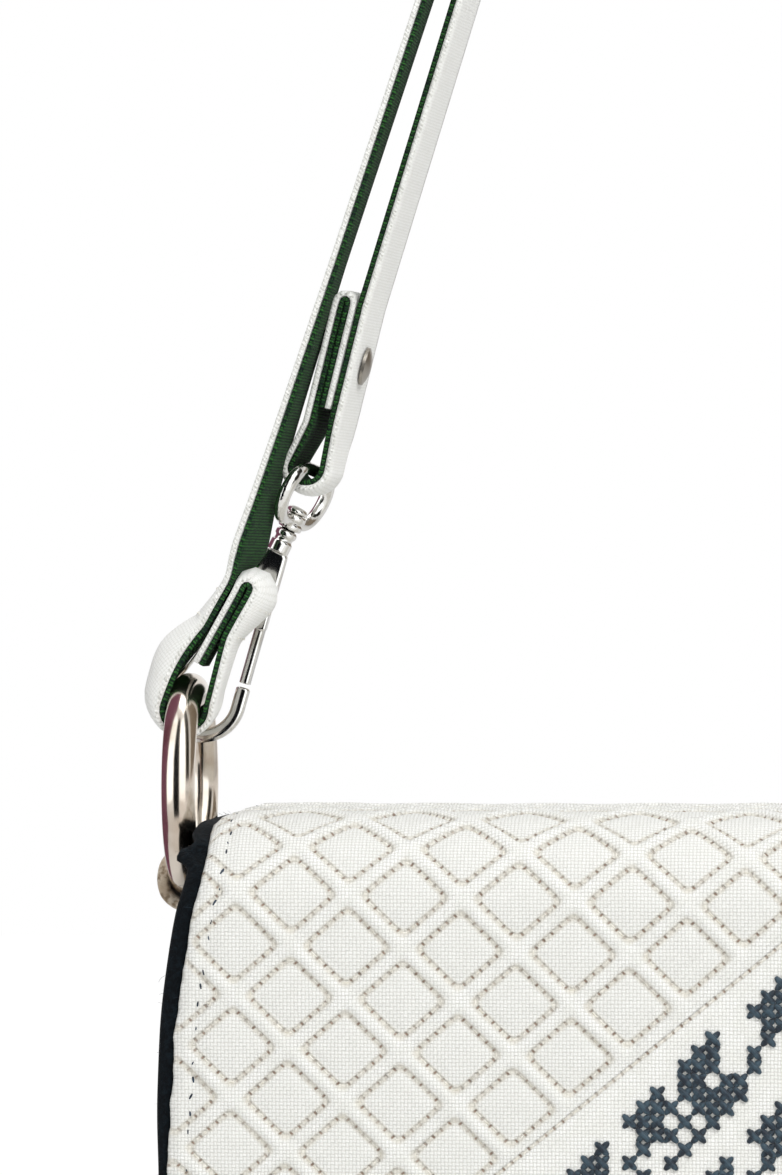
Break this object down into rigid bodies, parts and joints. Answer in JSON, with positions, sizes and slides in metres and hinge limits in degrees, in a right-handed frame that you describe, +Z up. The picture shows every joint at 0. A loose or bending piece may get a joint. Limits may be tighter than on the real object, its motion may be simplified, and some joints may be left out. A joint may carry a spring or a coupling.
{
  "type": "shoulder bag",
  "caption": "Linen flap shoulder bag with quilted, cross-stitched flap, felt body, round side rings and a doubled webbing strap with a swivel snap hook, hung from its strap.",
  "frame": {"origin": "the underside of the strap's crown, where it bears on a shoulder or a peg", "axes": "+Z up along the hanging bag, +X across it to its right seen from the front, -Y out of the flap's front"},
  "size_m": [0.2648, 0.0663, 0.5096],
  "materials": {
    "webbing_white": "coarse woven cotton tape, off-white",
    "webbing_green": "coarse woven cotton tape, dark green",
    "rivet_metal": "dull nickel",
    "hook_nickel": "polished nickel",
    "ring_nickel": "polished champagne nickel",
    "tab_linen": "nubby natural linen",
    "quilted_linen": "coarse cream linen, quilted and embroidered",
    "navy_felt": "fuzzy dark navy felt",
    "snap_metal": "satin nickel",
    "board": "stiff fibre board",
    "lining_cotton": "plain cotton lining"
  },
  "bodies": {
    "strap": {"webbing_white": "webbing_white", "webbing_green": "webbing_green", "rivet_cap": "rivet_metal", "rivet_post": "rivet_metal", "hook_eye": "hook_nickel"},
    "hook": {"swivel_post": "hook_nickel", "hook_body": "hook_nickel", "gate_pin": "hook_nickel"},
    "gate": {"gate": "hook_nickel"},
    "ring_left": {"ring_left": "ring_nickel"},
    "ring_right": {"ring_right": "ring_nickel"},
    "bag": {"tab_left": "tab_linen", "tab_right": "tab_linen", "crown_linen": "quilted_linen", "crown_backing": "navy_felt", "snap_socket": "snap_metal", "socket_washer": "snap_metal", "front_panel": "navy_felt", "back_panel": "navy_felt", "gusset_left": "navy_felt", "gusset_right": "navy_felt", "bottom_panel": "navy_felt", "base_board": "board", "lining": "lining_cotton", "slip_pocket": "lining_cotton"},
    "flap": {"flap_linen": "quilted_linen", "flap_backing": "navy_felt", "snap_stud": "snap_metal", "stud_washer": "snap_metal"}
  },
  "joints": [
    {"name": "bag_swing", "type": "hinge", "parent": "strap", "child": "bag", "pos_m": [0, 0, -0.3186], "axis": [1, 0, 0], "range_deg": [-30, 30]},
    {"name": "ring_left_turn", "type": "hinge", "parent": "strap", "child": "ring_left", "pos_m": [-0.12685, 0, -0.3186], "axis": [1, 0, 0], "continuous": true},
    {"name": "ring_right_turn", "type": "hinge", "parent": "strap", "child": "ring_right", "pos_m": [0.12685, 0, -0.3186], "axis": [1, 0, 0], "continuous": true},
    {"name": "flap_lift", "type": "hinge", "parent": "bag", "child": "flap", "pos_m": [0, -0.02372, -0.32648], "axis": [-1, 0, 0], "range_deg": [0, 110]},
    {"name": "hook_swivel", "type": "hinge", "parent": "strap", "child": "hook", "pos_m": [-0.10585, 0.0046, -0.266], "axis": [0.4543, 0, 0.8909], "range_deg": [-6, 6]},
    {"name": "gate_swing", "type": "hinge", "parent": "hook", "child": "gate", "pos_m": [-0.11447, 0.0046, -0.28832], "axis": [0, 1, 0], "range_deg": [0, 25], "stiffness_Nm_per_rad": 0.01, "springref_deg": -20.05}
  ]
}
